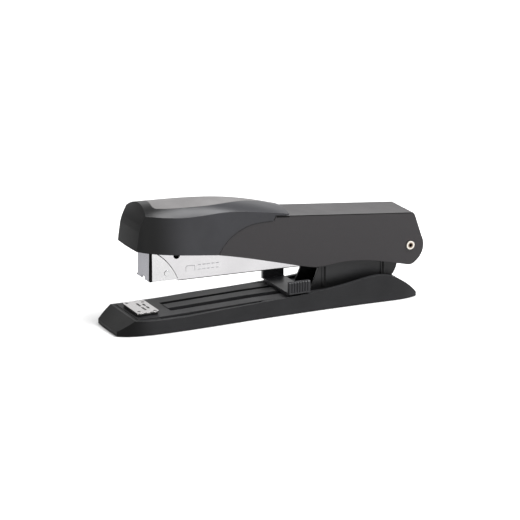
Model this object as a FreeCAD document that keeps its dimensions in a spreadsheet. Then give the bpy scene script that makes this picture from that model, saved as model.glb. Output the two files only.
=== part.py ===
import FreeCAD, Part
import math
import os
import Sketcher

os.makedirs("parts", exist_ok=True)
doc = FreeCAD.newDocument("stapler")
V = FreeCAD.Vector

# ---------------------------------------------------------------- dimensions
# millimetres and degrees; +Z up, front of the stapler towards -X
DIMS = [
    ("pivot_x", 79.2), ("pivot_z", 27.3),
    ("handle_tilt", 5.5), ("mag_tilt", 1.1),
    ("base_front", 87.7), ("base_rear", 81.4), ("shell_bottom", 0.4),
    ("nose_lip", 2.3), ("nose_top", 8.2), ("nose_back", 78.8),
    ("deck_front", 8.2), ("deck_mid", 9.2), ("deck_thick", 2.0),
    ("deck_half", 14.3), ("fin_in", 14.5), ("cavity_low", 5.0),
    ("rail_half", 3.5), ("rail_top", 9.6), ("slot_out", 7.4),
    ("slot_front", 55.5), ("slot_rear", 27.0),
    ("groove_len", 58.4), ("groove_in", 14.3),
    ("groove_out", 15.7), ("groove_floor", 6.9),
    ("sole_top", 1.8),
    ("anvil_x", 68.85), ("post_r", 3.0), ("post_bore", 3.05),
    ("anvil_len", 12.0), ("anvil_wid", 20.8), ("anvil_bot", 9.2),
    ("anvil_top", 10.0), ("block_bot", 8.3),
    ("knob_r", 7.0), ("knob_bot", 0.8), ("knob_top", 2.4),
    ("bracket_out", 9.5), ("bracket_in", 8.3), ("bracket_floor", 10.0),
    ("pin_r", 1.6), ("pin_bore", 1.65), ("pin_hollow", 0.9),
    ("pin_head_r", 2.3), ("pin_half", 12.7), ("pin_head_in", 12.0),
    ("grip_front", 6.8), ("grip_rear", 18.8), ("grip_bot", 10.9),
    ("grip_top", 17.2), ("grip_in", 14.7), ("grip_out", 16.9),
    ("bridge_bot", 9.5), ("bridge_top", 11.4),
    ("chan_half", 7.5), ("chan_in", 6.7), ("chan_bot", 6.1),
    ("chan_floor", 5.3), ("chan_top", 9.5), ("chan_front", 143.6),
    ("head_half", 8.3), ("head_face", 146.5), ("head_inner", 145.8),
    ("head_bot", 5.2), ("head_top", 12.0), ("head_tail", 131.0),
    ("core_half", 5.6), ("core_in", 4.8), ("core_top", 1.2),
    ("rod_r", 1.1), ("rod_bore", 1.16), ("rod_z", 1.5),
    ("pusher_front", 142.4), ("pusher_rear", 132.4),
    ("arm_half", 11.8), ("arm_in", 10.8), ("arm_top", 17.5),
    ("arm_under", 16.5), ("tongue_half", 10.0), ("tongue_front", 147.5),
    ("cap_half", 12.3), ("cap_in", 10.7), ("cap_lean", 12.7),
    ("cap_lean_lo", 3.0), ("cap_lean_mid", 12.0), ("cap_lean_hi", 20.5),
    ("cap_wall", 1.6), ("inlay_deep", 0.8),
    ("blade_x", 144.9), ("blade_half_t", 0.3), ("blade_half_w", 6.3),
    ("blade_tip", 7.0),
]
sheet = doc.addObject("Spreadsheet::Sheet", "dims")
D = {}
for row, (alias, value) in enumerate(DIMS, start=1):
    sheet.set("A%d" % row, alias)
    sheet.set("B%d" % row, repr(value))
    sheet.setAlias("B%d" % row, alias)
    D[alias] = float(value)
doc.recompute()


class Q:
    """A number tied to a sheet cell: factor * cell + offset."""

    def __init__(self, name, factor=1.0, offset=0.0):
        self.value = factor * D[name] + offset
        self.expr = "%r * dims.%s + %r" % (float(factor), name, float(offset))


def num(a):
    return a.value if isinstance(a, Q) else float(a)


def neg(name, offset=0.0):
    return Q(name, -1.0, offset)


def pos(name, offset=0.0):
    return Q(name, 1.0, offset)


def bind(obj, prop, a):
    if isinstance(a, Q):
        obj.setExpression(prop, a.expr)


NODES = []
COUNT = [0]


def uid(stem):
    COUNT[0] += 1
    return "%s_%03d" % (stem, COUNT[0])


FRAMES = {
    "world": (0.0, 0.0, 0.0, None),
    "mag": (D["pivot_x"], 0.0, D["pivot_z"], "mag_tilt"),
    "handle": (D["pivot_x"], 0.0, D["pivot_z"], "handle_tilt"),
}


def place(obj, frame):
    x, y, z, tilt = FRAMES[frame]
    if tilt is None:
        return
    obj.Placement = FreeCAD.Placement(V(x, y, z), FreeCAD.Rotation(V(0, 1, 0), D[tilt]))
    obj.setExpression("Placement.Base.x", "dims.pivot_x")
    obj.setExpression("Placement.Base.z", "dims.pivot_z")
    obj.setExpression("Placement.Rotation.Angle", "dims.%s" % tilt)


def body(name, node=True):
    b = doc.addObject("PartDesign::Body", name)
    b.Label = name
    if node:
        NODES.append(b)
    return b


def origin_plane(b, role):
    return [o for o in b.Origin.OriginFeatures if o.Role == role][0]


def sketch(b, role, loops, off=0.0, rot=None, base=None):
    """loops: lists of points; ("a", mid) between two points is an arc through
    mid, ("s", [pts]) a spline through pts, ("c", centre, radius) a circle."""
    sk = b.newObject("Sketcher::SketchObject", uid("sk"))
    sk.AttachmentSupport = (origin_plane(b, role), [""])
    sk.MapMode = "FlatFace"
    if rot is None:
        sk.AttachmentOffset = FreeCAD.Placement(V(0, 0, num(off)), FreeCAD.Rotation())
        bind(sk, "AttachmentOffset.Base.z", off)
    else:
        sk.AttachmentOffset = FreeCAD.Placement(base, rot)
    for loop in loops:
        if loop[0] == "c":
            c, r = loop[1], loop[2]
            g = sk.addGeometry(Part.Circle(V(num(c[0]), num(c[1]), 0), V(0, 0, 1), num(r)), False)
            sk.addConstraint(Sketcher.Constraint("Radius", g, num(r)))
            n = sk.ConstraintCount - 1
            if isinstance(r, Q):
                sk.setExpression("Constraints[%d]" % n, r.expr)
            for kind, a in (("DistanceX", c[0]), ("DistanceY", c[1])):
                sk.addConstraint(Sketcher.Constraint(kind, -1, 1, g, 3, num(a)))
                n = sk.ConstraintCount - 1
                if isinstance(a, Q):
                    sk.setExpression("Constraints[%d]" % n, a.expr)
            continue
        verts, links = [], []
        for item in loop:
            if item[0] == "a" or item[0] == "s":
                links[-1] = item
            else:
                verts.append(item)
                links.append(None)
        ids, ends = [], []
        n = len(verts)
        for i in range(n):
            p = V(num(verts[i][0]), num(verts[i][1]), 0)
            q = V(num(verts[(i + 1) % n][0]), num(verts[(i + 1) % n][1]), 0)
            link = links[i]
            if link is None:
                g = sk.addGeometry(Part.LineSegment(p, q), False)
                ends.append((1, 2))
            elif link[0] == "a":
                g = sk.addGeometry(Part.Arc(p, V(link[1][0], link[1][1], 0), q), False)
                ux, uy = link[1][0] - p.x, link[1][1] - p.y
                wx, wy = q.x - link[1][0], q.y - link[1][1]
                first = ux * wy - uy * wx > 0
                ends.append((1, 2) if first else (2, 1))
            else:
                curve = Part.BSplineCurve()
                curve.interpolate([p] + [V(a[0], a[1], 0) for a in link[1]] + [q])
                g = sk.addGeometry(curve, False)
                ends.append((1, 2))
            ids.append(g)
        if any(k is not None and k[0] == "s" for k in links):
            # spline outlines keep their interpolated shape
            sk.addConstraint([Sketcher.Constraint("Block", g) for g in ids])
            continue
        # arcs are held as drawn, every other corner is dimensioned
        arcs = [k is not None for k in links]
        cons = []
        for i in range(n):
            j = (i + 1) % n
            if not (arcs[i] and arcs[j]):
                cons.append(Sketcher.Constraint("Coincident", ids[i], ends[i][1], ids[j], ends[j][0]))
        cons += [Sketcher.Constraint("Block", ids[i]) for i in range(n) if arcs[i]]
        sk.addConstraint(cons)
        for i in range(n):
            if arcs[i] or arcs[i - 1]:
                continue
            for kind, a in (("DistanceX", verts[i][0]), ("DistanceY", verts[i][1])):
                sk.addConstraint(Sketcher.Constraint(kind, -1, 1, ids[i], ends[i][0], num(a)))
                if isinstance(a, Q):
                    sk.setExpression("Constraints[%d]" % (sk.ConstraintCount - 1), a.expr)
    return sk


def span(lo, hi):
    """Length hi - lo as a value and, when a sheet cell is behind it, a formula."""
    a = "(%s)" % hi.expr if isinstance(hi, Q) else repr(float(hi))
    c = "(%s)" % lo.expr if isinstance(lo, Q) else repr(float(lo))
    tied = isinstance(lo, Q) or isinstance(hi, Q)
    return num(hi) - num(lo), ("%s - %s" % (a, c) if tied else None)


def volume(b):
    return b.Shape.Volume if not b.Shape.isNull() else 0.0


def pad(b, role, loops, lo=None, hi=None, sym=None):
    sk = sketch(b, role, loops, off=0.0 if sym is not None else lo)
    p = b.newObject("PartDesign::Pad", uid("pad"))
    p.Profile = sk
    if sym is not None:
        p.SideType = "Symmetric"
        p.Length = num(sym)
        bind(p, "Length", sym)
    else:
        val, ex = span(lo, hi)
        p.Length = val
        if ex:
            p.setExpression("Length", ex)
    return p


def cut(b, role, loops, lo=None, hi=None, sym=None):
    """Removes material between lo and hi measured along the plane's normal."""
    doc.recompute()
    before = volume(b)
    sk = sketch(b, role, loops, off=0.0 if sym is not None else hi)
    p = b.newObject("PartDesign::Pocket", uid("cut"))
    p.Profile = sk
    if sym is not None:
        p.SideType = "Symmetric"
        p.Length = num(sym)
        bind(p, "Length", sym)
    else:
        val, ex = span(lo, hi)
        p.Length = val
        if ex:
            p.setExpression("Length", ex)
    doc.recompute()
    if volume(b) >= before - 1e-6:
        raise RuntimeError("cut removed nothing: " + b.Label + " " + p.Name)
    return p


def rect(x0, x1, y0, y1):
    return [(x0, y0), (x1, y0), (x1, y1), (x0, y1)]


def circle(cx, cy, r):
    return ("c", (cx, cy), r)


def leaf(obj, name, frame="world"):
    obj.Label = name
    NODES.append(obj)
    place(obj, frame)
    return obj


def fuse(objs, name=None):
    f = doc.addObject("Part::MultiFuse", uid("fuse"))
    f.Shapes = objs
    return f


def minus(a, c):
    f = doc.addObject("Part::Cut", uid("minus"))
    f.Base = a
    f.Tool = c
    return f


def common(a, c):
    f = doc.addObject("Part::Common", uid("common"))
    f.Base = a
    f.Tool = c
    return f


def cyl_y(x, z, r, y0, y1):
    """Part cylinder along Y."""
    c = doc.addObject("Part::Cylinder", uid("cy"))
    c.Radius = num(r)
    bind(c, "Radius", r)
    c.Height = num(y1) - num(y0)
    ex = span(y0, y1)[1]
    if ex:
        c.setExpression("Height", ex)
    c.Placement = FreeCAD.Placement(V(num(x), num(y0), num(z)), FreeCAD.Rotation(V(1, 0, 0), -90))
    bind(c, "Placement.Base.x", x)
    bind(c, "Placement.Base.y", y0)
    bind(c, "Placement.Base.z", z)
    return c


def cyl_z(x, y, r, z0, z1):
    c = doc.addObject("Part::Cylinder", uid("cz"))
    c.Radius = num(r)
    bind(c, "Radius", r)
    c.Height = num(z1) - num(z0)
    ex = span(z0, z1)[1]
    if ex:
        c.setExpression("Height", ex)
    c.Placement = FreeCAD.Placement(V(num(x), num(y), num(z0)), FreeCAD.Rotation())
    bind(c, "Placement.Base.x", x)
    bind(c, "Placement.Base.z", z0)
    return c


def cyl_x(y, z, r, x0, x1):
    c = doc.addObject("Part::Cylinder", uid("cx"))
    c.Radius = num(r)
    bind(c, "Radius", r)
    c.Height = num(x1) - num(x0)
    ex = span(x0, x1)[1]
    if ex:
        c.setExpression("Height", ex)
    c.Placement = FreeCAD.Placement(V(num(x0), num(y), num(z)), FreeCAD.Rotation(V(0, 1, 0), 90))
    bind(c, "Placement.Base.x", x0)
    bind(c, "Placement.Base.z", z)
    return c


def spring(name, frame, centre, axis, length, mean_r, wire_r, turns):
    """Round-wire compression coil, its ends flush with the two seats."""
    usable = length - 2 * wire_r
    helix = Part.makeHelix(usable / turns, usable, mean_r)
    ring = Part.Wire([Part.makeCircle(wire_r, V(mean_r, 0, 0),
                                      V(0, 2 * math.pi * mean_r, usable / turns))])
    solid = Part.Wire(helix.Edges).makePipeShell([ring], True, True)
    wire_len = turns * math.hypot(2 * math.pi * mean_r, usable / turns)
    if abs(solid.Volume / (math.pi * wire_r ** 2 * wire_len) - 1.0) > 0.03:
        raise RuntimeError("coil volume is off: " + name)
    rot = FreeCAD.Rotation(V(0, 0, 1), axis)
    step = FreeCAD.Placement(centre + rot.multVec(V(0, 0, wire_r)), rot)
    o = doc.addObject("Part::Feature", name)
    o.Shape = solid
    o.Label = name
    x, y, z, tilt = FRAMES[frame]
    turn = D[tilt] if tilt else 0.0
    seat = FreeCAD.Placement(V(x, y, z), FreeCAD.Rotation(V(0, 1, 0), turn))
    o.Placement = seat.multiply(step)
    NODES.append(o)
    return o


# ------------------------------------------------------------ base: the shell
PLAN = [(-79.0, 16.2), (-72.0, 17.5), (-63.0, 18.1), (-50.0, 18.2), (-41.0, 18.0),
        (-30.0, 17.6), (-9.0, 16.8), (10.0, 16.5), (28.0, 16.5), (47.0, 16.8),
        (65.0, 17.5), (74.0, 17.4)]


def plan_loop(inset, front, front_half, rear, rear_half):
    top = [(x, y - inset) for x, y in PLAN if front + 3.0 < x < rear - 3.0]
    bot = [(x, -y) for x, y in reversed(top)]
    return [(front, -front_half), ("s", [(front - (0.35 if inset == 0 else 0.6), 0.0)]),
            (front, front_half), ("s", top), (rear, rear_half), (rear, -rear_half), ("s", bot)]


# first in this list is the outline; the closing spline runs back to the front
base_shell = body("base_shell")
outline = plan_loop(0.0, -87.3, 12.2, 81.4, 15.2)
pad(base_shell, "XY_Plane", [outline], pos("shell_bottom"), 15.5)
WALL_TOP = [(-77.0, 8.05), (-70.0, 7.55), (-61.0, 7.5), (-52.0, 7.5), (-41.0, 7.9), (-30.0, 8.3),
            (-15.0, 8.7), (7.0, 9.5), (20.0, 10.2), (27.0, 10.8), (37.0, 11.8),
            (46.0, 13.2), (53.0, 14.25), (59.0, 14.6), (65.0, 13.7), (71.5, 10.7),
            (78.0, 5.8)]
cut(base_shell, "XZ_Plane", [[(neg("base_front", -5.0), 30.0), (neg("base_front", -5.0), pos("nose_lip", -3.0)),
                              (neg("base_front", -0.2), pos("nose_lip")),
                              (neg("nose_back"), pos("nose_top")),
                              ("s", WALL_TOP), (81.5, 2.2), (90.0, 2.2), (90.0, 30.0)]], sym=60.0)
# raised deck with its long step behind the anvil
pad(base_shell, "XZ_Plane", [[(-77.4, 5.0), (-77.4, pos("deck_front")), (-56.6, pos("deck_front")),
                              (-10.0, pos("deck_mid")), (66.0, pos("deck_mid")), (66.0, 5.0)]],
    sym=Q("deck_half", 2.0))
# well between the side fins
cut(base_shell, "XY_Plane", [rect(-20.0, 71.0, neg("fin_in"), pos("fin_in"))], pos("deck_mid"), 20.0)
# middle rail and the two long guide slots
pad(base_shell, "XZ_Plane", [[(neg("slot_front"), 6.8), (neg("slot_front"), 8.5), (-10.0, pos("rail_top")),
                              (pos("slot_rear", -6.0), pos("rail_top")), (pos("slot_rear", -6.0), 6.8)]],
    sym=Q("rail_half", 2.0))
# hollow underside: deep in the middle, shallower below the ledges
low = plan_loop(2.2, -76.5, 12.4, 77.6, 12.4)
cut(base_shell, "XY_Plane", [low], pos("shell_bottom", -0.2), pos("cavity_low"))
cut(base_shell, "XY_Plane", [rect(-76.0, -56.0, -12.0, 12.0)], 3.0, pos("deck_front", -2.0))
cut(base_shell, "XY_Plane", [rect(-49.0, 64.0, -12.6, 12.6)], 3.0, pos("deck_mid", -2.0))
for side in (-1.0, 1.0):
    ys = sorted([side * D["rail_half"], side * D["slot_out"]])
    lo_y = Q("rail_half", side) if abs(ys[0] - side * D["rail_half"]) < 1e-9 else Q("slot_out", side)
    hi_y = Q("slot_out", side) if lo_y.value == side * D["rail_half"] else Q("rail_half", side)
    cut(base_shell, "XY_Plane", [[(neg("slot_front"), lo_y), (pos("slot_rear"), lo_y),
                                  (pos("slot_rear"), hi_y), (neg("slot_front"), hi_y)]], 4.0, 12.0)
# front groove line across the nose
cut(base_shell, "XY_Plane", [rect(-76.9, -76.4, -14.0, 14.0)], pos("nose_top", -0.5), 12.0)
# guide boss and bore of the anvil post
pad(base_shell, "XY_Plane", [circle(neg("anvil_x"), 0.0, 4.5)], 4.9, pos("deck_front", -1.0))
cut(base_shell, "XY_Plane", [circle(neg("anvil_x"), 0.0, pos("post_bore"))], 3.0, 12.0)
# bosses that carry the sole
pad(base_shell, "XY_Plane", [circle(-45.0, 11.0, 2.0), circle(-45.0, -11.0, 2.0),
                             circle(70.5, 9.0, 2.2), circle(70.5, -9.0, 2.2),
                             circle(30.0, 11.0, 2.0), circle(30.0, -11.0, 2.0)],
    pos("sole_top"), pos("cavity_low", 0.6))
# rivet holes for the bracket
cut(base_shell, "XY_Plane", [circle(35.0, 0.0, 1.5), circle(60.0, 0.0, 1.5)], 3.0, 12.0)
# long groove between the deck and each ledge
cut(base_shell, "XY_Plane", [
    [(-64.4, pos("groove_in")), (Q("groove_len", 1.0, -64.4), pos("groove_in")),
     (Q("groove_len", 1.0, -64.4), pos("groove_out")), (-64.4, pos("groove_out"))],
    [(-64.4, neg("groove_out")), (Q("groove_len", 1.0, -64.4), neg("groove_out")),
     (Q("groove_len", 1.0, -64.4), neg("groove_in")), (-64.4, neg("groove_in"))]], pos("groove_floor"), 8.9)
doc.recompute()

# ------------------------------------------------------------- base: the sole
base_sole = body("base_sole")
sole = plan_loop(2.35, -76.3, 12.25, 77.45, 12.25)
pad(base_sole, "XY_Plane", [sole], 0.0, pos("sole_top"))
cut(base_sole, "XY_Plane", [circle(neg("anvil_x"), 0.0, 8.3)], -1.0, 5.0)
cut(base_sole, "XY_Plane", [rect(-54.0, 60.0, -9.5, 9.5)], 0.9, 5.0)

# ---------------------------------------------------------- base: the bracket
frame_bracket = body("frame_bracket")
SIDE = [(22.7, pos("deck_mid")), (22.7, 10.8), ("a", (25.0, 15.6)), (26.7, 20.8), (31.0, 23.2), (60.0, 27.2),
        (73.5, 32.2), ("a", (79.2, 33.1)), (84.4, 29.6), ("a", (84.9, 26.0)), (82.0, 22.2), (76.5, 19.4),
        (72.8, 17.4), ("a", (71.8, 14.4)), (70.1, 11.8), (70.1, pos("deck_mid"))]
pad(frame_bracket, "XZ_Plane", [SIDE], sym=Q("bracket_out", 2.0))
cut(frame_bracket, "XZ_Plane", [rect(15.0, 95.0, pos("bracket_floor"), 45.0)], sym=Q("bracket_in", 2.0))
pad(frame_bracket, "XZ_Plane", [rect(29.0, 31.0, 10.6, 21.4), rect(63.2, 65.6, 10.6, 23.0)], sym=19.9)
cut(frame_bracket, "XZ_Plane", [rect(20.0, 75.0, pos("bracket_floor"), 45.0)], sym=Q("bracket_in", 2.0))
cut(frame_bracket, "XZ_Plane", [circle(pos("pivot_x"), pos("pivot_z"), pos("pin_r"))], sym=60.0)
cut(frame_bracket, "XY_Plane", [circle(35.0, 0.0, 1.5), circle(60.0, 0.0, 1.5)], 5.0, 12.0)

# rivets holding the bracket to the deck
rivs = []
for x in (35.0, 60.0):
    rivs += [cyl_z(x, 0.0, 1.5, pos("deck_mid", -2.9), pos("bracket_floor", 0.7)),
             cyl_z(x, 0.0, 2.6, pos("bracket_floor"), pos("bracket_floor", 0.8)),
             cyl_z(x, 0.0, 2.5, pos("deck_mid", -2.9), pos("deck_mid", -2.0))]
leaf(fuse(rivs), "bracket_rivets")

# pivot pin: hollow rivet with rolled heads outside the handle
pin = fuse([cyl_y(pos("pivot_x"), pos("pivot_z"), pos("pin_r"), neg("pin_half", 0.1), pos("pin_half", -0.1)),
            cyl_y(pos("pivot_x"), pos("pivot_z"), pos("pin_head_r"), neg("pin_half"), neg("pin_head_in")),
            cyl_y(pos("pivot_x"), pos("pivot_z"), pos("pin_head_r"), pos("pin_head_in"), pos("pin_half"))])
leaf(minus(pin, cyl_y(pos("pivot_x"), pos("pivot_z"), pos("pin_hollow"), neg("pin_half", -1.0), pos("pin_half", 1.0))),
     "pivot_pin")
washers = []
for a, c in ((neg("bracket_out", -1.15), neg("bracket_out")), (pos("bracket_out"), pos("bracket_out", 1.15))):
    washers.append(minus(cyl_y(pos("pivot_x"), pos("pivot_z"), 3.6, a, c),
                         cyl_y(pos("pivot_x"), pos("pivot_z"), pos("pin_r"), neg("bracket_out", -3.0), pos("bracket_out", 3.0))))
leaf(fuse(washers), "pivot_washers")

# lift spring below the magazine
spring("lift_spring", "world", V(45.0, 0, D["bracket_floor"]), V(0, 0, 1), 11.6, 4.4, 0.45, 5.0)

# ------------------------------------------------------------------- anvil
anvil_block = body("anvil_block")
pad(anvil_block, "XY_Plane", [[(-74.2, -9.6), (-63.5, -9.6), (-63.5, 9.6), (-74.2, 9.6)]],
    pos("block_bot"), pos("anvil_bot"))
anvil_plate = body("anvil_plate")
ax = D["anvil_x"]
pad(anvil_plate, "XY_Plane", [[(Q("anvil_x", -1.0, -6.0), Q("anvil_wid", -0.5, 1.6)),
                               ("a", (-ax - 5.5, -9.9)), (Q("anvil_x", -1.0, -4.4), Q("anvil_wid", -0.5)),
                               (Q("anvil_x", -1.0, 4.4), Q("anvil_wid", -0.5)),
                               ("a", (-ax + 5.5, -9.9)), (Q("anvil_x", -1.0, 6.0), Q("anvil_wid", -0.5, 1.6)),
                               (Q("anvil_x", -1.0, 6.0), Q("anvil_wid", 0.5, -1.6)),
                               ("a", (-ax + 5.5, 9.9)), (Q("anvil_x", -1.0, 4.4), Q("anvil_wid", 0.5)),
                               (Q("anvil_x", -1.0, -4.4), Q("anvil_wid", 0.5)),
                               ("a", (-ax - 5.5, 9.9)), (Q("anvil_x", -1.0, -6.0), Q("anvil_wid", 0.5, -1.6))]],
    pos("anvil_bot"), pos("anvil_top"))
# clinch grooves: one inward pair, one outward pair, and the round dimples
cut(anvil_plate, "XY_Plane", [
    [(-ax - 0.4, -5.6), ("a", (-ax + 0.2, -6.2)), (-ax + 0.8, -5.6), (-ax + 0.8, -1.3), ("a", (-ax + 0.2, -0.7)), (-ax - 0.4, -1.3)],
    [(-ax - 0.4, 1.3), ("a", (-ax + 0.2, 0.7)), (-ax + 0.8, 1.3), (-ax + 0.8, 5.6), ("a", (-ax + 0.2, 6.2)), (-ax - 0.4, 5.6)],
    [(-ax + 2.2, -3.6), ("a", (-ax + 2.8, -4.2)), (-ax + 3.4, -3.6), (-ax + 3.4, -1.2), ("a", (-ax + 2.8, -0.6)), (-ax + 2.2, -1.2)],
    [(-ax + 2.2, 1.2), ("a", (-ax + 2.8, 0.6)), (-ax + 3.4, 1.2), (-ax + 3.4, 3.6), ("a", (-ax + 2.8, 4.2)), (-ax + 2.2, 3.6)],
    circle(-ax - 4.1, 8.6, 0.85), circle(-ax - 4.1, -7.2, 0.85), circle(-ax + 4.1, 7.2, 0.85), circle(-ax + 4.1, -8.6, 0.85)],
    pos("anvil_top", -0.5), pos("anvil_top", 1.0))
# lobed ends
cut(anvil_plate, "XY_Plane", [circle(-ax - 1.7, -10.9, 0.9), circle(-ax + 1.9, -10.9, 0.9),
                              circle(-ax - 1.9, 10.9, 0.9), circle(-ax + 1.7, 10.9, 0.9)], 9.0, 11.0)
anvil_post = body("anvil_post")
pad(anvil_post, "XY_Plane", [circle(neg("anvil_x"), 0.0, pos("post_r"))], pos("knob_top"), pos("block_bot"))
pad(anvil_post, "XY_Plane", [circle(neg("anvil_x"), 0.0, 1.9)], pos("knob_bot", 0.2), pos("knob_top", 0.5))
anvil_knob = body("anvil_knob")
pad(anvil_knob, "XY_Plane", [circle(neg("anvil_x"), 0.0, pos("knob_r"))], pos("knob_bot"), pos("knob_top"))
cut(anvil_knob, "XY_Plane", [circle(neg("anvil_x"), 0.0, 1.9)], -1.0, 6.0)
cut(anvil_knob, "XY_Plane", [rect(neg("anvil_x", -6.2), neg("anvil_x", -3.0), -1.2, 1.2),
                             rect(neg("anvil_x", 3.0), neg("anvil_x", 6.2), -1.2, 1.2)], -1.0, pos("knob_bot", 0.7))
leaf(minus(cyl_z(neg("anvil_x"), 0.0, 6.5, pos("knob_top", 0.05), pos("knob_top", 0.45)),
           cyl_z(neg("anvil_x"), 0.0, pos("post_bore"), 0.0, 6.0)), "anvil_washer")


def cone(z0, r0, r1, tall):
    c = doc.addObject("Part::Cone", uid("cone"))
    c.Radius1 = r0
    c.Radius2 = r1
    c.Height = tall
    c.Placement = FreeCAD.Placement(V(-ax, 0, num(z0)), FreeCAD.Rotation())
    bind(c, "Placement.Base.x", neg("anvil_x"))
    bind(c, "Placement.Base.z", z0)
    return c


# pair of disc springs, narrow ends together
disc_out = fuse([cone(pos("knob_top", 0.5), 6.2, 5.2, 1.6), cone(pos("knob_top", 2.1), 5.2, 6.2, 1.6)])
disc_in = fuse([cone(pos("knob_top", 0.5), 5.8, 4.8, 1.6), cone(pos("knob_top", 2.1), 4.8, 5.8, 1.6)])
leaf(minus(disc_out, disc_in), "anvil_spring")

# ------------------------------------------------------------- depth stop
stop_slider = body("stop_slider")
pad(stop_slider, "YZ_Plane", [[(neg("grip_out"), pos("grip_bot")), (neg("grip_in"), pos("grip_bot")),
                               (-14.0, pos("grip_bot")), (-14.0, pos("bridge_bot")),
                               (14.0, pos("bridge_bot")), (14.0, pos("grip_bot")),
                               (pos("grip_out"), pos("grip_bot")),
                               (pos("grip_out"), pos("grip_top", -0.8)), ("a", (16.65, 16.95)),
                               (pos("grip_out", -0.8), pos("grip_top")),
                               (pos("grip_in"), pos("grip_top")), (pos("grip_in"), pos("bridge_top")),
                               (neg("grip_in"), pos("bridge_top")), (neg("grip_in"), pos("grip_top")),
                               (neg("grip_out", 0.8), pos("grip_top")), ("a", (-16.65, 16.95)),
                               (neg("grip_out"), pos("grip_top", -0.8))]],
    pos("grip_front"), pos("grip_rear"))
cut(stop_slider, "YZ_Plane", [rect(-3.9, 3.9, 8.0, pos("rail_top", 0.35))], 0.0, 30.0)
for side in (-1.0, 1.0):
    loops = []
    for k in range(7):
        x0 = D["grip_front"] + 0.95 + 1.5 * k
        y0, y1 = sorted((side * (D["grip_out"] - 0.45), side * (D["grip_out"] + 1.0)))
        loops.append(rect(x0, x0 + 0.75, y0, y1))
    cut(stop_slider, "XY_Plane", loops, pos("grip_bot", 0.7), 25.0)
cut(stop_slider, "XY_Plane", [circle(12.8, 5.4, 0.8), circle(12.8, -5.4, 0.8)], 5.0, pos("bridge_top", -0.7))
stop_clip = body("stop_clip")
pad(stop_clip, "YZ_Plane", [[(-9.0, 5.5), (9.0, 5.5), (9.0, 6.7), (7.0, 6.7), (7.0, pos("bridge_bot")),
                             (3.95, pos("bridge_bot")), (3.95, 6.7), (-3.95, 6.7), (-3.95, pos("bridge_bot")),
                             (-7.0, pos("bridge_bot")), (-7.0, 6.7), (-9.0, 6.7)]], 9.0, 17.0)
cut(stop_clip, "XY_Plane", [circle(12.8, 5.4, 0.8), circle(12.8, -5.4, 0.8)], 3.0, 12.0)
scr = []
for y in (-5.4, 5.4):
    scr += [cyl_z(12.8, y, 0.8, 4.8, pos("bridge_top", -0.7)), cyl_z(12.8, y, 1.7, 4.6, 5.5)]
leaf(fuse(scr), "stop_screws")

# --------------------------------------------------------------- magazine
magazine_channel = body("magazine_channel")
pad(magazine_channel, "XZ_Plane", [[(neg("chan_front"), neg("chan_floor")), (neg("head_tail", -0.4), neg("chan_floor")),
                                    (neg("head_tail", 0.2), neg("chan_bot")), (-8.0, neg("chan_bot")),
                                    (-3.0, -4.6), ("a", (4.6, -2.6)), (3.6, 3.9), (-6.0, 7.0), (-12.0, pos("chan_top")),
                                    (neg("chan_front"), pos("chan_top"))]], sym=Q("chan_half", 2.0))
cut(magazine_channel, "XZ_Plane", [rect(-160.0, 20.0, neg("chan_floor"), 30.0)], sym=Q("chan_in", 2.0))
cut(magazine_channel, "XZ_Plane", [circle(0.0, 0.0, pos("pin_bore"))], sym=60.0)
cut(magazine_channel, "XZ_Plane", [circle(-131.4, 7.2, 1.8)], sym=60.0)
cut(magazine_channel, "XZ_Plane", [circle(-137.1, -1.4, 0.9)], sym=60.0)
place(magazine_channel, "mag")

nose_guide = body("nose_guide")
pad(nose_guide, "XZ_Plane", [[(neg("head_face"), neg("head_bot")), (neg("head_tail"), neg("head_bot")),
                              ("a", (-135.2, 2.1)), (-142.8, 9.2), (-144.2, pos("head_top")),
                              (neg("head_face"), pos("head_top"))]], sym=Q("head_half", 2.0))
cut(nose_guide, "XZ_Plane", [rect(neg("head_inner"), -100.0, -20.0, 30.0)], sym=Q("chan_half", 2.0))
# recessed strips between the face plate and the side cheeks
cut(nose_guide, "YZ_Plane", [rect(-8.5, -7.25, -4.5, 20.0)], -150.0, neg("head_face", 0.9))
cut(nose_guide, "YZ_Plane", [rect(7.25, 8.5, -4.5, 20.0)], -150.0, neg("head_face", 0.9))
# round window and the bottom notch
cut(nose_guide, "YZ_Plane", [circle(0.4, 9.8, 1.8)], -150.0, neg("head_inner", 0.6))
cut(nose_guide, "YZ_Plane", [rect(-2.0, 2.0, -20.0, neg("head_bot", 1.4))], -150.0, neg("head_inner", 0.6))
cut(nose_guide, "XZ_Plane", [circle(-137.1, -1.4, 0.9)], sym=60.0)
place(nose_guide, "mag")

mr = []
for a, c, e in ((-8.3, -6.75, -8.6), (6.75, 8.3, 8.6)):
    lo_y, hi_y = a, c
    mr.append(cyl_y(-137.1, -1.4, 0.9, lo_y, hi_y))
    mr.append(cyl_y(-137.1, -1.4, 1.4, min(e, math.copysign(8.3, e)), max(e, math.copysign(8.3, e))))
leaf(fuse(mr), "head_rivets", "mag")

staple_rail = body("staple_rail")
pad(staple_rail, "XZ_Plane", [rect(neg("chan_front"), -21.0, neg("chan_floor"), pos("core_top"))], sym=Q("core_half", 2.0))
cut(staple_rail, "XZ_Plane", [rect(neg("chan_front", 0.7), -10.0, neg("chan_floor", 0.8), 20.0)], sym=Q("core_in", 2.0))
cut(staple_rail, "YZ_Plane", [circle(0.0, neg("rod_z"), pos("rod_r"))], -150.0, -140.0)
place(staple_rail, "mag")

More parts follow.
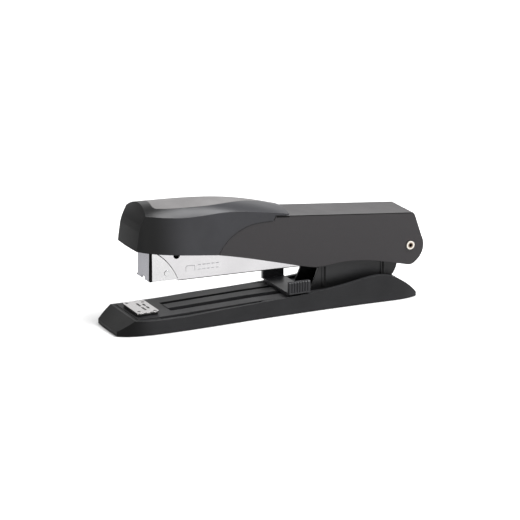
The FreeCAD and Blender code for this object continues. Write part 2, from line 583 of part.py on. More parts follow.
leaf(fuse([cyl_x(0.0, neg("rod_z"), pos("rod_r"), neg("chan_front", 0.1), -80.0),
           cyl_x(0.0, neg("rod_z"), pos("rod_r"), -80.0, -22.0)]), "pusher_rod", "mag")
rear_plug = body("rear_plug")
pad(rear_plug, "XZ_Plane", [rect(-27.0, -21.2, neg("chan_floor", 0.8), pos("core_top"))], sym=Q("core_in", 2.0))
cut(rear_plug, "YZ_Plane", [circle(0.0, neg("rod_z"), pos("rod_r"))], -40.0, -10.0)
place(rear_plug, "mag")
rear_bridge = body("rear_bridge")
pad(rear_bridge, "XY_Plane", [rect(-38.0, -19.0, neg("chan_half"), pos("chan_half"))], pos("chan_top"), pos("chan_top", 0.8))
pad(rear_bridge, "XY_Plane", [circle(-28.0, 0.0, 2.6)], pos("chan_top", 0.7), pos("chan_top", 2.8))
place(rear_bridge, "mag")
spring("handle_spring", "mag", V(-28.0, 0, D["chan_top"] + 0.82), V(0, 0, 1), 7.3, 3.5, 0.4, 5.0)

pusher_block = body("pusher_block")
pad(pusher_block, "YZ_Plane", [[(-4.5, -3.9), (4.5, -3.9), (4.5, pos("core_top", 0.3)), (6.25, pos("core_top", 0.3)),
                                (6.25, 4.2), (-6.25, 4.2), (-6.25, pos("core_top", 0.3)), (-4.5, pos("core_top", 0.3))]],
    neg("pusher_front"), neg("pusher_rear"))
pad(pusher_block, "YZ_Plane", [rect(-6.3, -5.95, -3.5, 4.2), rect(5.95, 6.3, -3.5, 4.2)],
    neg("pusher_front"), neg("pusher_rear", -3.0))
cut(pusher_block, "YZ_Plane", [circle(0.0, neg("rod_z"), pos("rod_bore"))], -150.0, -120.0)
place(pusher_block, "mag")
spring("pusher_spring", "mag", V(-D["pusher_rear"] + 0.1, 0, -D["rod_z"]), V(1, 0, 0),
       D["pusher_rear"] - 27.2, 2.0, 0.3, 22.0)

# ----------------------------------------------------------------- handle
SEAM = [(-110.4, -2.2), (-107.8, 2.7), (-103.7, 7.5), (-99.5, 10.6), (-94.5, 13.0), (-90.1, 14.1), (-81.0, 15.0)]
LOWER = [(-86.6, -5.5), (-72.1, -7.9), (-59.4, -9.9), (-53.7, -10.4), (-42.7, -8.7), (-27.5, -7.5),
         (-8.7, -9.4)]
handle_arm = body("handle_arm")
pad(handle_arm, "XZ_Plane", [[(-109.9, -2.4), ("s", [(x + 0.35, z - 0.15) for x, z in SEAM[1:-1]]),
                              (-80.4, 14.85), (-79.7, pos("arm_top")), (-0.1, pos("arm_top")), ("a", (0.75, 16.8)),
                              (1.25, 16.2), (6.4, 4.9), ("a", (8.0, 0.6)), (4.1, -9.05), ("a", (1.8, -10.5)), (-0.9, -10.5),
                              ("s", list(reversed(LOWER)))]], sym=Q("arm_half", 2.0))
cut(handle_arm, "XZ_Plane", [[(-140.0, -30.0), (-140.0, pos("arm_under")), (-0.7, pos("arm_under")),
                              (5.2, 4.7), (20.0, 4.7), (20.0, -30.0)]], sym=Q("arm_in", 2.0))
# forward tongue that carries the cap and the driver
pad(handle_arm, "XZ_Plane", [rect(neg("tongue_front"), -79.0, 8.0, pos("arm_top"))], sym=Q("tongue_half", 2.0))
cut(handle_arm, "XZ_Plane", [rect(-160.0, -70.0, 0.0, pos("arm_under"))], sym=Q("tongue_half", 2.0, -2.0))
cut(handle_arm, "XZ_Plane", [rect(-160.0, -138.0, 0.0, pos("arm_under"))], sym=40.0)
cut(handle_arm, "XZ_Plane", [circle(0.0, 0.0, pos("pin_bore"))], sym=60.0)
cut(handle_arm, "XY_Plane", [circle(-125.0, 0.0, 1.2), circle(-100.0, 0.0, 1.2)], 10.0, 20.0)
place(handle_arm, "handle")

STATIONS = [(-160.0, 19.6, 21.9), (-151.5, 18.9, 23.3), (-141.8, 17.95, 24.1), (-131.5, 17.75, 24.75),
            (-120.4, 18.7, 25.15), (-109.4, 20.1, 25.1), (-98.2, 20.4, 24.4), (-87.5, 19.8, 23.1),
            (-79.0, 19.2, 21.6), (-68.0, 18.3, 19.7)]


def dome(name, half, drop, skip_last=0):
    b = body(name, node=False)
    sks = []
    use = STATIONS[:len(STATIONS) - skip_last]
    for x, sh, pk in use:
        w = num(half)
        wy = half if isinstance(half, Q) else Q("cap_half", w / D["cap_half"])
        wn = Q("cap_half", -wy.value / D["cap_half"])
        # shoulder height on the arc at this half width
        rise = (pk - sh) * (1.0 - (wy.value / D["cap_half"]) ** 2)
        s = sh + rise - drop
        sks.append(sketch(b, "YZ_Plane", [[(wn, -30.0), (wy, -30.0), (wy, s), ("a", (0.0, pk - drop)), (wn, s)]], off=x))
    lf = b.newObject("PartDesign::AdditiveLoft", uid("loft"))
    lf.Profile = sks[0]
    lf.Sections = sks[1:]
    lf.Ruled = False
    doc.recompute()
    return b


def lean_cut(b, x_front, sag=0.55, lean="cap_lean", z=0.8):
    """Trims everything ahead of the leaning, curved front face."""
    rot = FreeCAD.Rotation(V(0, 1, 0), D[lean])
    r = (12.3 ** 2 + sag ** 2) / (2 * sag)
    e = r - math.sqrt(r * r - 196.0) - sag
    sk = sketch(b, "XY_Plane", [[(e, -14.0), ("a", (-sag, 0.0)), (e, 14.0), (-25.0, 14.0), (-25.0, -14.0)]],
                rot=rot, base=V(x_front, 0, z))
    sk.setExpression("AttachmentOffset.Rotation.Angle", "dims." + lean)
    p = b.newObject("PartDesign::Pocket", uid("cut"))
    p.Profile = sk
    p.SideType = "Symmetric"
    p.Length = 160.0
    doc.recompute()
    return p


cap_outer = dome("cap_outer", Q("cap_half"), 0.0)
# the face bulges forward: nearly upright below, leaning back above
lean_cut(cap_outer, -155.9, lean="cap_lean_lo")
lean_cut(cap_outer, -155.38, lean="cap_lean_mid", z=10.8)
lean_cut(cap_outer, -154.7, lean="cap_lean_hi", z=14.0)
cut(cap_outer, "XZ_Plane", [[(-170.0, -40.0), (-170.0, 0.8), (-155.6, 0.8), ("s", [(-146.0, -0.7), (-135.6, -1.5), (-122.0, -1.95)]),
                             (-110.4, -2.2), ("s", SEAM[1:-1]), (-81.0, 15.0), (-80.2, pos("arm_top", 0.3)),
                             (-72.8, pos("arm_top", 0.3)), (-72.4, 18.6), (-70.6, 40.0), (-40.0, 40.0), (-40.0, -40.0)]],
    sym=60.0)
cap_cavity = dome("cap_cavity", Q("cap_in"), D["cap_wall"], skip_last=2)
lean_cut(cap_cavity, -153.6)
cav_low = body("cav_low", node=False)
pad(cav_low, "XZ_Plane", [rect(-145.0, -60.0, -30.0, pos("arm_top", 0.3))], sym=Q("cap_in", 2.0))
dome_low = dome("dome_low", Q("cap_half", 1.0, 1.0), D["inlay_deep"])


def inlay_loop(g):
    top = [(-140.0, 8.35 - g), (-128.0, 8.5 - g), (-117.0, 8.2 - g), (-108.0, 7.1 - g), (-100.0, 5.1 - g), (-92.0, 2.55 - g)]
    bot = [(x, -y) for x, y in reversed(top)]
    return [(-147.0 + g, -5.6), (-147.0 + g, 5.6), ("a", (-146.3 + 0.7 * g, 7.35 - 0.7 * g)), (-144.6, 8.05 - g), ("s", top),
            (-85.6, 1.1 - g), ("a", (-84.8 - g, 0.0)), (-85.6, -1.1 + g), ("s", bot), (-144.6, -8.05 + g),
            ("a", (-146.3 + 0.7 * g, -7.35 + 0.7 * g))]


inlay_prism = body("inlay_prism", node=False)
pad(inlay_prism, "XY_Plane", [inlay_loop(0.0)], 5.0, 35.0)
inlay_core = body("inlay_core", node=False)
pad(inlay_core, "XY_Plane", [inlay_loop(0.18)], 5.0, 35.0)
doc.recompute()
recess = minus(inlay_prism, dome_low)
shell = minus(minus(minus(cap_outer, cap_cavity), cav_low), recess)
posts = fuse([shell, cyl_z(-125.0, 0.0, 3.0, pos("arm_top"), 24.1), cyl_z(-100.0, 0.0, 3.0, pos("arm_top"), 23.4)])
leaf(minus(posts, fuse([cyl_z(-125.0, 0.0, 1.2, 10.0, 21.5), cyl_z(-100.0, 0.0, 1.2, 10.0, 21.5)])),
     "front_cap", "handle")
leaf(common(minus(inlay_core, dome_low), cap_outer), "cap_inlay", "handle")
cs = []
for x in (-125.0, -100.0):
    cs += [cyl_z(x, 0.0, 1.2, pos("arm_under", -0.6), 21.5), cyl_z(x, 0.0, 2.4, pos("arm_under", -1.0), pos("arm_under"))]
leaf(fuse(cs), "cap_screws", "handle")

driver_blade = body("driver_blade")
pad(driver_blade, "YZ_Plane", [[(neg("blade_half_w"), neg("blade_tip")), (pos("blade_half_w"), neg("blade_tip")),
                                (pos("blade_half_w"), pos("arm_under")), (neg("blade_half_w"), pos("arm_under"))]],
    Q("blade_x", -1.0, -0.3), Q("blade_x", -1.0, 0.3))
place(driver_blade, "handle")
driver_holder = body("driver_holder")
pad(driver_holder, "XZ_Plane", [[(Q("blade_x", -1.0, 0.3), 11.6), (-139.4, 11.6), (-137.6, 13.2), (-137.6, pos("arm_under")),
                                 (Q("blade_x", -1.0, 0.3), pos("arm_under"))]], sym=14.0)
place(driver_holder, "handle")

# ------------------------------------------------------------------ export
doc.recompute()
bad = []
for o in doc.Objects:
    st = [s for s in o.State if s in ("Invalid", "Error")]
    if st:
        bad.append((o.Name, o.Label, st))
for o in NODES:
    if o.Shape.isNull() or not o.Shape.isValid():
        bad.append((o.Name, o.Label, "shape"))
if bad:
    raise RuntimeError("bad objects: %s" % bad)
for o in NODES:
    o.Shape.exportStep("parts/%s.step" % o.Label)
    bb = o.Shape.BoundBox
    print("%-18s solids=%d vol=%9.1f  x %.1f..%.1f y %.1f..%.1f z %.1f..%.1f" % (
        o.Label, len(o.Shape.Solids), o.Shape.Volume, bb.XMin, bb.XMax, bb.YMin, bb.YMax, bb.ZMin, bb.ZMax))
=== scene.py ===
import bpy, bmesh, math
from mathutils import Vector, Matrix


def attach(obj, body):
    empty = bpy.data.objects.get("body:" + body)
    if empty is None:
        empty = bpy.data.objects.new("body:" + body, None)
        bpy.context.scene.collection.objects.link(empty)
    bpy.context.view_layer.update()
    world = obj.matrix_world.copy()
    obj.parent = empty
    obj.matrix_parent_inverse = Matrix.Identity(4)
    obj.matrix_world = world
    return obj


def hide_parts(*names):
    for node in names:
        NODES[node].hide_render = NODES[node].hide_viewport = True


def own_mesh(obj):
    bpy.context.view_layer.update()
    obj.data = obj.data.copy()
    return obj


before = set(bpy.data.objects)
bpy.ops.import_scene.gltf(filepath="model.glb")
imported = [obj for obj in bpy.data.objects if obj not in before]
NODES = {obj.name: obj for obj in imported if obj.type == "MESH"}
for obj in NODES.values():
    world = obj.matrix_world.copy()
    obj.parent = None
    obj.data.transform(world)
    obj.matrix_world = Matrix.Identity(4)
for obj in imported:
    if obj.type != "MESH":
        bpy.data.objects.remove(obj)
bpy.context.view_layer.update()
MM = 0.001


# ---------------------------------------------------------------- materials
class Mat:
    """Small helper to build a node material from procedural pieces."""

    def __init__(self, name, base, rough=0.4, metallic=0.0, spec=0.5, coat=0.0, coat_rough=0.1):
        self.m = bpy.data.materials.new(name)
        self.m.use_nodes = True
        self.nt = self.m.node_tree
        self.n = self.nt.nodes
        self.l = self.nt.links
        self.b = self.n["Principled BSDF"]
        self.b.inputs["Base Color"].default_value = (*base, 1)
        self.b.inputs["Roughness"].default_value = rough
        self.b.inputs["Metallic"].default_value = metallic
        self.b.inputs["Specular IOR Level"].default_value = spec
        self.b.inputs["Coat Weight"].default_value = coat
        self.b.inputs["Coat Roughness"].default_value = coat_rough
        tc = self.n.new("ShaderNodeTexCoord")
        self.co = tc.outputs["Object"]
        self.normal = None

    def noise(self, scale, detail=2.0, rough=0.5, stretch=None, w=0.0):
        src = self.co
        if stretch:
            mp = self.n.new("ShaderNodeMapping")
            mp.inputs["Scale"].default_value = stretch
            self.l.new(src, mp.inputs["Vector"])
            src = mp.outputs["Vector"]
        t = self.n.new("ShaderNodeTexNoise")
        t.noise_dimensions = "4D"
        t.inputs["W"].default_value = w
        t.inputs["Scale"].default_value = scale
        t.inputs["Detail"].default_value = detail
        t.inputs["Roughness"].default_value = rough
        self.l.new(src, t.inputs["Vector"])
        return t.outputs["Fac"]

    def ramp(self, fac, lo, hi, p0=0.35, p1=0.65):
        mr = self.n.new("ShaderNodeMapRange")
        mr.inputs["From Min"].default_value = p0
        mr.inputs["From Max"].default_value = p1
        mr.inputs["To Min"].default_value = lo
        mr.inputs["To Max"].default_value = hi
        self.l.new(fac, mr.inputs["Value"])
        return mr.outputs["Result"]

    def along(self, axis, a, c, mirror=False):
        """0 before a, 1 after c, smooth between, along an object axis (mm)."""
        if not hasattr(self, "sep"):
            self.sep = self.n.new("ShaderNodeSeparateXYZ")
            self.l.new(self.co, self.sep.inputs["Vector"])
        if axis == "R":
            ln = self.n.new("ShaderNodeVectorMath")
            ln.operation = "LENGTH"
            self.l.new(self.co, ln.inputs[0])
            src = ln.outputs["Value"]
        else:
            src = self.sep.outputs[axis]
        if mirror:
            ab = self.n.new("ShaderNodeMath")
            ab.operation = "ABSOLUTE"
            self.l.new(src, ab.inputs[0])
            src = ab.outputs[0]
        mr = self.n.new("ShaderNodeMapRange")
        mr.interpolation_type = "SMOOTHSTEP"
        mr.inputs["From Min"].default_value = a * MM
        mr.inputs["From Max"].default_value = c * MM
        self.l.new(src, mr.inputs["Value"])
        return mr.outputs["Result"]

    def either(self, f, g):
        mx = self.n.new("ShaderNodeMath")
        mx.operation = "MAXIMUM"
        self.l.new(f, mx.inputs[0])
        self.l.new(g, mx.inputs[1])
        return mx.outputs[0]

    def tint(self, fac, factor):
        """Multiplies the base colour by factor where fac is 0, by 1 where fac is 1."""
        src = self.b.inputs["Base Color"].links[0].from_socket
        mx = self.n.new("ShaderNodeMix")
        mx.data_type = "RGBA"
        mx.blend_type = "MIX"
        lo = self.n.new("ShaderNodeVectorMath")
        lo.operation = "MULTIPLY"
        lo.inputs[1].default_value = (factor[0], factor[1], factor[2])
        self.l.new(src, lo.inputs[0])
        self.l.new(fac, mx.inputs["Factor"])
        self.l.new(lo.outputs["Vector"], mx.inputs[6])
        self.l.new(src, mx.inputs[7])
        self.l.new(mx.outputs[2], self.b.inputs["Base Color"])

    def around(self, x, z, a, c):
        """0 inside radius a of the cross axis at x, z, 1 outside c (mm)."""
        sb = self.n.new("ShaderNodeVectorMath")
        sb.operation = "SUBTRACT"
        sb.inputs[1].default_value = (x * MM, 0, z * MM)
        self.l.new(self.co, sb.inputs[0])
        fl = self.n.new("ShaderNodeVectorMath")
        fl.operation = "MULTIPLY"
        fl.inputs[1].default_value = (1, 0, 1)
        self.l.new(sb.outputs["Vector"], fl.inputs[0])
        ln = self.n.new("ShaderNodeVectorMath")
        ln.operation = "LENGTH"
        self.l.new(fl.outputs["Vector"], ln.inputs[0])
        return self.ramp(ln.outputs["Value"], 0.0, 1.0, a * MM, c * MM)

    def coarser(self, fac, more):
        """Adds more roughness where fac is 0."""
        src = self.b.inputs["Roughness"].links[0].from_socket
        up = self.ramp(fac, more, 0.0, 0.0, 1.0)
        ad = self.n.new("ShaderNodeMath")
        ad.operation = "ADD"
        self.l.new(src, ad.inputs[0])
        self.l.new(up, ad.inputs[1])
        self.l.new(ad.outputs[0], self.b.inputs["Roughness"])

    def vary_rough(self, fac, lo, hi, p0=0.35, p1=0.65):
        self.l.new(self.ramp(fac, lo, hi, p0, p1), self.b.inputs["Roughness"])

    def vary_colour(self, fac, a, c, p0=0.3, p1=0.7):
        cr = self.n.new("ShaderNodeValToRGB")
        cr.color_ramp.elements[0].position = p0
        cr.color_ramp.elements[1].position = p1
        cr.color_ramp.elements[0].color = (*a, 1)
        cr.color_ramp.elements[1].color = (*c, 1)
        self.l.new(fac, cr.inputs["Fac"])
        self.l.new(cr.outputs["Color"], self.b.inputs["Base Color"])
        return cr.outputs["Color"]

    def soft_edges(self, radius_mm):
        bv = self.n.new("ShaderNodeBevel")
        bv.samples = 6
        bv.inputs["Radius"].default_value = radius_mm * MM
        self.normal = bv.outputs["Normal"]
        self.l.new(self.normal, self.b.inputs["Normal"])

    def bump(self, height, dist_mm, strength=1.0):
        bp = self.n.new("ShaderNodeBump")
        bp.inputs["Distance"].default_value = dist_mm * MM
        bp.inputs["Strength"].default_value = strength
        self.l.new(height, bp.inputs["Height"])
        if self.normal is not None:
            self.l.new(self.normal, bp.inputs["Normal"])
        self.normal = bp.outputs["Normal"]
        self.l.new(self.normal, self.b.inputs["Normal"])


def plastic(name, base, rough, grain=0.02, spec=0.5, edge=0.25, coat=0.0, seed=0.0, spread=0.05):
    m = Mat(name, base, rough, 0.0, spec, coat)
    m.soft_edges(edge)
    broad = m.noise(35.0, 3.0, 0.6, w=seed)
    m.vary_rough(broad, rough - spread, rough + spread)
    dark = tuple(c * 0.86 for c in base)
    light = tuple(min(1.0, c * 1.15) for c in base)
    m.vary_colour(m.noise(60.0, 4.0, 0.6, w=seed + 3.0), dark, light)
    m.bump(m.noise(2600.0, 2.0, 0.55, w=seed + 7.0), grain, 0.6)
    return m


def metal(name, base, rough, brushed=None, edge=0.15, seed=0.0, spread=0.04, depth=0.004, coat=0.0):
    m = Mat(name, base, rough, 1.0, 0.5, coat)
    m.soft_edges(edge)
    cloud = m.noise(45.0, 4.0, 0.6, w=seed)
    m.vary_rough(cloud, rough - spread, rough + spread)
    m.vary_colour(m.noise(80.0, 3.0, 0.5, w=seed + 2.0), tuple(c * 0.94 for c in base), tuple(min(1, c * 1.04) for c in base))
    if brushed:
        m.bump(m.noise(900.0, 3.0, 0.6, stretch=brushed, w=seed + 5.0), depth, 0.5)
    else:
        m.bump(m.noise(500.0, 2.0, 0.5, w=seed + 5.0), depth, 0.3)
    return m


def painted(name, base, rough, grain=0.015, seed=0.0, spec=0.5, edge=0.3):
    m = Mat(name, base, rough, 0.0, spec)
    m.soft_edges(edge)
    m.vary_rough(m.noise(40.0, 3.0, 0.6, w=seed), rough - 0.04, rough + 0.05)
    m.vary_colour(m.noise(1800.0, 2.0, 0.6, w=seed + 2.0), tuple(c * 0.9 for c in base), tuple(c * 1.12 for c in base))
    m.bump(m.noise(1500.0, 3.0, 0.55, w=seed + 4.0), grain, 0.5)
    return m


BLACK = plastic("black_shell", (0.016, 0.016, 0.017), 0.50, 0.02, spec=0.14, seed=1.0)
# painted shade: the base shell darkens towards its front end (X below -66 mm) to stand in for the shade there
BLACK.tint(BLACK.along("X", -82.0, -66.0), (0.08, 0.08, 0.08))
SOLE = plastic("sole_rubber", (0.012, 0.012, 0.012), 0.75, 0.04, spec=0.2, seed=2.0)
BRACKET = painted("bracket_coat", (0.014, 0.014, 0.015), 0.42, 0.012, seed=3.0, spec=0.35, edge=0.2)
# painted shade: the bracket darkens towards its foot (below Z 18 mm), where it meets the base and lies in shadow
BRACKET.tint(BRACKET.along("Z", 11.0, 18.0), (0.12, 0.12, 0.12))
ARM = painted("arm_coat", (0.0155, 0.0135, 0.0148), 0.37, 0.010, seed=4.0, spec=0.40, edge=0.35)
CAP = plastic("cap_gloss", (0.028, 0.028, 0.031), 0.33, 0.006, spec=0.20, seed=5.0, edge=0.3, spread=0.03)
# painted shade: the cap darkens towards its front end (X below -44 mm), standing in for the shading there
CAP.tint(CAP.along("X", -68.0, -44.0), (0.05, 0.05, 0.05))
CAP.coarser(CAP.along("X", -74.0, -69.5), 0.30)
INLAY = plastic("inlay_soft", (0.122, 0.118, 0.118), 0.62, 0.03, spec=0.3, seed=6.0, edge=0.15)
STOP = plastic("stop_plastic", (0.015, 0.015, 0.017), 0.42, 0.015, spec=0.30, seed=7.0, edge=0.2)
BLOCK = plastic("anvil_base_plastic", (0.012, 0.012, 0.013), 0.5, 0.015, spec=0.3, seed=8.0, edge=0.15)
NICKEL = metal("nickel_bright", (0.62, 0.61, 0.62), 0.24, (0.06, 1.0, 1.0), seed=9.0, spread=0.03)
HEADN = metal("nickel_head", (0.655, 0.65, 0.655), 0.27, None, seed=10.0, depth=0.002)
# painted shade: the forward-facing front face plate (X below -66.8 mm) is darkened to about a third of the nickel
HEADN.tint(HEADN.along("X", -66.8, -66.4), (0.30, 0.30, 0.325))
# painted shade: near black where X is below -65.95 mm and |Y| above 7.24 mm, the gaps at the face plate's sides that
# lie in shade
HEADN.tint(HEADN.either(HEADN.along("X", -65.95, -65.88), HEADN.along("Y", 7.24, 7.20, True)), (0.02, 0.02, 0.02))
ANVIL = metal("anvil_nickel", (0.36, 0.35, 0.35), 0.20, (1.0, 0.08, 1.0), seed=11.0)
STEEL = metal("plain_steel", (0.46, 0.46, 0.47), 0.34, (0.08, 1.0, 1.0), seed=12.0)
WIRE = metal("spring_wire", (0.42, 0.42, 0.43), 0.3, None, seed=13.0)
RIVET = metal("rivet_nickel", (0.60, 0.57, 0.53), 0.24, None, seed=14.0)
PIN = metal("pin_nickel", (0.70, 0.66, 0.60), 0.24, None, seed=17.0)
PIN.tint(PIN.around(79.2, 27.3, 1.35, 1.55), (0.30, 0.24, 0.20))

FINISH = {
    "base_shell": BLACK, "base_sole": SOLE, "frame_bracket": BRACKET, "bracket_rivets": STEEL,
    "pivot_pin": PIN, "pivot_washers": STEEL, "lift_spring": WIRE, "anvil_spring": WIRE,
    "anvil_washer": STEEL, "anvil_block": BLOCK, "anvil_plate": ANVIL, "anvil_post": STEEL,
    "anvil_knob": BLOCK, "stop_slider": STOP, "stop_clip": STOP, "stop_screws": STEEL,
    "magazine_channel": NICKEL, "nose_guide": HEADN, "head_rivets": HEADN, "staple_rail": STEEL,
    "pusher_rod": STEEL, "rear_plug": STEEL, "rear_bridge": STEEL, "handle_spring": WIRE,
    "pusher_spring": WIRE, "pusher_block": STEEL, "handle_arm": ARM, "front_cap": CAP,
    "cap_inlay": INLAY, "cap_screws": STEEL, "driver_blade": STEEL, "driver_holder": STEEL,
}
for name, obj in NODES.items():
    mat = FINISH[name]
    if not obj.material_slots:
        obj.data.materials.append(None)
    for s in obj.material_slots:
        s.link = "OBJECT"
        s.material = mat.m

# -------------------------------------------- printed marks and painted shade lines
INK = plastic("grey_print", (0.40, 0.40, 0.41), 0.6, 0.01, spec=0.2, seed=15.0, edge=0.02)
# painted shade: a near-black finish for the strokes laid where gaps, grooves and edges lie in shade
SHADE_LINES = plastic("painted_shade_lines", (0.006, 0.006, 0.006), 0.6, 0.01, spec=0.1, seed=16.0, edge=0.02)
PIVOT = Vector((79.2, 27.3))
TILT = {"base": 0.0, "magazine": math.radians(1.1), "handle": math.radians(5.5)}


def turn(body, x, z):
    """Side coordinates (mm from the pivot, along the body) to world X and Z."""
    t = TILT[body]
    return (PIVOT.x + x * math.cos(t) + z * math.sin(t), PIVOT.y - x * math.sin(t) + z * math.cos(t))


def stroke(bm, body, pts, width, y0, y1, closed=False):
    """A flat stroke with mitred corners along pts on a side plate, from y0 to y1."""
    n_pts = len(pts)
    rows = []
    for i, p in enumerate(pts):
        q = Vector(p)
        a = Vector(pts[i - 1]) if (i or closed) else None
        c = Vector(pts[(i + 1) % n_pts]) if (i + 1 < n_pts or closed) else None
        d1 = (q - a).normalized() if a is not None else (c - q).normalized()
        d2 = (c - q).normalized() if c is not None else d1
        n = Vector((-(d1 + d2).y, (d1 + d2).x)).normalized()
        k = width / 2 / max(0.3, n.dot(Vector((-d1.y, d1.x))))
        ring = []
        for v, y in ((q + n * k, y0), (q - n * k, y0), (q - n * k, y1), (q + n * k, y1)):
            X, Z = turn(body, v.x, v.y)
            ring.append(bm.verts.new((X * MM, y * MM, Z * MM)))
        rows.append(ring)
    pairs = list(zip(rows, rows[1:])) + ([(rows[-1], rows[0])] if closed else [])
    for a, c in pairs:
        for k in range(4):
            bm.faces.new((a[k], a[(k + 1) % 4], c[(k + 1) % 4], c[k]))
    if not closed:
        bm.faces.new(list(reversed(rows[0])))
        bm.faces.new(rows[-1])


def piece(name, bm, body, mat):
    bmesh.ops.recalc_face_normals(bm, faces=bm.faces)
    me = bpy.data.meshes.new(name)
    bm.to_mesh(me)
    bm.free()
    ob = bpy.data.objects.new(name, me)
    bpy.context.scene.collection.objects.link(ob)
    me.materials.append(mat.m)
    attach(ob, body)
    return ob


def through(p, m, q, n=14):
    """Points on the circle through p, m and q, from p to q."""
    ax, ay, bx, by, cx, cy = *p, *m, *q
    d = 2 * (ax * (by - cy) + bx * (cy - ay) + cx * (ay - by))
    ux = ((ax * ax + ay * ay) * (by - cy) + (bx * bx + by * by) * (cy - ay) + (cx * cx + cy * cy) * (ay - by)) / d
    uy = ((ax * ax + ay * ay) * (cx - bx) + (bx * bx + by * by) * (ax - cx) + (cx * cx + cy * cy) * (bx - ax)) / d
    r = math.hypot(ax - ux, ay - uy)
    a0, a1 = math.atan2(ay - uy, ax - ux), math.atan2(cy - uy, cx - ux)
    while a1 - a0 > math.pi:
        a1 -= 2 * math.pi
    while a1 - a0 < -math.pi:
        a1 += 2 * math.pi
    return [(ux + r * math.cos(a0 + (a1 - a0) * k / n), uy + r * math.sin(a0 + (a1 - a0) * k / n)) for k in range(n + 1)]


# outline of one staple, then two rows of plain dashes, on the near side plate
bm = bmesh.new()
foot, top, lft, rgt = -1.75, 1.05, -126.2, -121.3
stroke(bm, "magazine", [(lft, foot), (lft, top - 0.5), (lft + 0.15, top - 0.15), (lft + 0.5, top), (rgt - 0.5, top),
                        (rgt - 0.15, top - 0.15), (rgt, top - 0.5), (rgt, foot)], 0.32, -7.53, -7.49)
for zc in (1.05, -1.35):
    x = -119.6
    for w in (1.7, 1.7, 1.7, 1.7, 1.7):
        stroke(bm, "magazine", [(x, zc), (x + w, zc)], 0.45, -7.53, -7.49)
        x += w + 0.8
piece("staple_marks", bm, "magazine", INK)

# the shadow line round each cheek's edge and rivet
bm = bmesh.new()
for sgn in (-1, 1):
    arc = [(x + 0.14, z + 0.14) for x, z in through((-131.0, -5.05), (-135.2, 2.1), (-142.8, 9.2))]
    stroke(bm, "magazine", arc, 0.42, sgn * 7.53, sgn * 7.45)
    ring = [(-137.1 + 1.42 * math.cos(a * math.pi / 14), -1.4 + 1.42 * math.sin(a * math.pi / 14)) for a in range(28)]
    stroke(bm, "magazine", ring, 0.16, sgn * 8.32, sgn * 8.25, closed=True)
    # a dark line along the side plate's lower edge: painted shade under the edge
    stroke(bm, "magazine", [(-130.6, -5.90), (-9.0, -5.90)], 0.38, sgn * 7.53, sgn * 7.45)
piece("cheek_lines", bm, "magazine", SHADE_LINES)

# painted shade: dark strips in the recesses between the face plate and the cheeks, where there is only shade
bm = bmesh.new()
for sgn in (-1, 1):
    stroke(bm, "magazine", [(-145.74, -4.42), (-145.74, 11.8)], 0.24, sgn * 8.22, sgn * 7.27)
piece("nose_strips", bm, "magazine", SHADE_LINES)

# painted shade in the pressed grooves down the bracket's sides
bm = bmesh.new()
for sgn in (-1, 1):
    for x, z in ((30.45, 21.2), (64.45, 22.8)):
        stroke(bm, "base", [(x - PIVOT.x, 11.0 - PIVOT.y), (x - PIVOT.x, z - PIVOT.y)], 1.15, sgn * 9.98, sgn * 9.88)
piece("bracket_groove_shade", bm, "base", SHADE_LINES)

# painted dark line along the fold of the arm's top edges, standing in for the dark reflection on the bend, and painted
# shade in the gap under the cap's rear lip
bm = bmesh.new()
for sgn in (-1, 1):
    stroke(bm, "handle", [(-72.0, 17.27), (-1.2, 17.27)], 0.42, sgn * 11.83, sgn * 11.72)
    stroke(bm, "handle", [(-79.3, 17.02), (-72.0, 17.02)], 0.90, sgn * 11.83, sgn * 11.72)
piece("arm_fold_shade_lines", bm, "handle", SHADE_LINES)

# ---------------------------------------------- springs that shorten in use, copied onto their bodies with meshes of their own
def coil(name, body):
    me = NODES[name].data.copy()
    me.materials.clear()
    me.materials.append(WIRE.m)
    ob = bpy.data.objects.new(name + "_coil", me)
    bpy.context.scene.collection.objects.link(ob)
    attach(ob, body)
    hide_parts(name)
    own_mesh(ob)


coil("lift_spring", "base")
coil("pusher_spring", "magazine")
coil("anvil_spring", "base")

# ------------------------------------------------------------------- camera
AZ, EL, DIST, LENS = math.radians(-25.4), math.radians(16.6), 1.540, 207.0
TARGET = Vector((-0.0019, 0.0, 0.0262))
back = Vector((math.sin(AZ) * math.cos(EL), -math.cos(AZ) * math.cos(EL), math.sin(EL)))
cam_data = bpy.data.cameras.new("camera")
cam_data.lens = LENS
cam_data.sensor_width = 36.0
cam_data.clip_start = 0.05
cam = bpy.data.objects.new("camera", cam_data)
bpy.context.scene.collection.objects.link(cam)
cam.location = TARGET + back * DIST
cam.rotation_euler = back.to_track_quat("Z", "Y").to_euler()
bpy.context.scene.camera = cam

# --------------------------------------------------------- floor and lights
floor_mesh = bpy.data.meshes.new("floor")
bm = bmesh.new()
bmesh.ops.create_grid(bm, x_segments=1, y_segments=1, size=40.0)
bm.to_mesh(floor_mesh)
bm.free()
floor = bpy.data.objects.new("floor", floor_mesh)
bpy.context.scene.collection.objects.link(floor)
fm = Mat("floor_white", (0.93, 0.93, 0.93), 0.9, 0.0, 0.1)
fm.vary_colour(fm.noise(3.0, 2.0, 0.5), (0.925, 0.925, 0.925), (0.935, 0.935, 0.935))
fm.tint(fm.along("R", 180.0, 800.0), (0.76, 0.76, 0.76))
fm.tint(fm.either(fm.along("R", 180.0, 800.0), fm.along("Y", -50.0, 30.0)), (0.70, 0.70, 0.70))
floor_mesh.materials.append(fm.m)

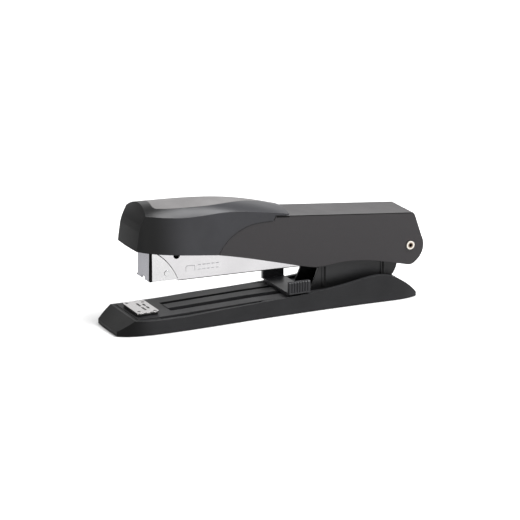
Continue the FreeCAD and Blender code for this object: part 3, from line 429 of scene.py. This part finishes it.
world = bpy.data.worlds.new("studio")
bpy.context.scene.world = world
world.use_nodes = True
wn, wl = world.node_tree.nodes, world.node_tree.links
wtc = wn.new("ShaderNodeTexCoord")
wsep = wn.new("ShaderNodeSeparateXYZ")
wl.new(wtc.outputs["Generated"], wsep.inputs["Vector"])
wup = wn.new("ShaderNodeMapRange")
wup.interpolation_type = "SMOOTHSTEP"
wup.inputs["From Min"].default_value = 0.0
wup.inputs["From Max"].default_value = 0.75
wup.inputs["To Min"].default_value = 0.20
wup.inputs["To Max"].default_value = 0.75
wl.new(wsep.outputs["Z"], wup.inputs["Value"])
wbk = wn.new("ShaderNodeMapRange")
wbk.interpolation_type = "SMOOTHSTEP"
wbk.inputs["From Min"].default_value = 0.25
wbk.inputs["From Max"].default_value = 0.95
wbk.inputs["To Min"].default_value = 0.0
wbk.inputs["To Max"].default_value = 1.42
wl.new(wsep.outputs["Y"], wbk.inputs["Value"])

def wmask(axis, a, c):
    mr = wn.new("ShaderNodeMapRange")
    mr.interpolation_type = "SMOOTHSTEP"
    mr.inputs["From Min"].default_value = a
    mr.inputs["From Max"].default_value = c
    wl.new(wsep.outputs[axis], mr.inputs["Value"])
    return mr.outputs["Result"]


def wmath(op, a, c):
    nd = wn.new("ShaderNodeMath")
    nd.operation = op
    wl.new(a, nd.inputs[0])
    wl.new(c, nd.inputs[1])
    return nd.outputs[0]


band = wmath("MULTIPLY", wbk.outputs["Result"], wmask("X", -0.45, 0.15))
band = wmath("MULTIPLY", band, wmask("Z", 0.08, 0.42))
wsum = wmath("ADD", wup.outputs["Result"], band)
# a thin pale strip at the horizon, where the sweep of the backdrop would be
wsum = wmath("MAXIMUM", wsum, wmask("Z", 0.13, 0.085))
wcol = wn.new("ShaderNodeCombineColor")
for ch in ("Red", "Green", "Blue"):
    wl.new(wsum, wcol.inputs[ch])
wl.new(wcol.outputs["Color"], wn["Background"].inputs["Color"])
wn["Background"].inputs["Strength"].default_value = 1.0

sun_data = bpy.data.lights.new("soft_overhead", "SUN")
sun_data.energy = 1.2
sun_data.angle = math.radians(80)
sun = bpy.data.objects.new("soft_overhead", sun_data)
bpy.context.scene.collection.objects.link(sun)
sun.rotation_euler = Vector((-0.35, -0.30, 1.0)).to_track_quat("Z", "Y").to_euler()


def area(name, loc, aim, size, size_y, power, colour=(1, 1, 1)):
    d = bpy.data.lights.new(name, "AREA")
    d.shape = "RECTANGLE"
    d.size = size
    d.size_y = size_y
    d.energy = power
    d.color = colour
    o = bpy.data.objects.new(name, d)
    bpy.context.scene.collection.objects.link(o)
    o.location = loc
    o.rotation_euler = (Vector(loc) - Vector(aim)).to_track_quat("Z", "Y").to_euler()
    return o


area("side_fill", (-0.15, -1.2, 0.35), (0, 0, 0.03), 0.9, 0.35, 0.8)
area("softbox", (0.39, -0.35, 0.83), (-0.02, 0, 0.03), 0.45, 0.75, 17.0)

bpy.context.scene.view_settings.view_transform = "Standard"
bpy.context.scene.view_settings.look = "None"
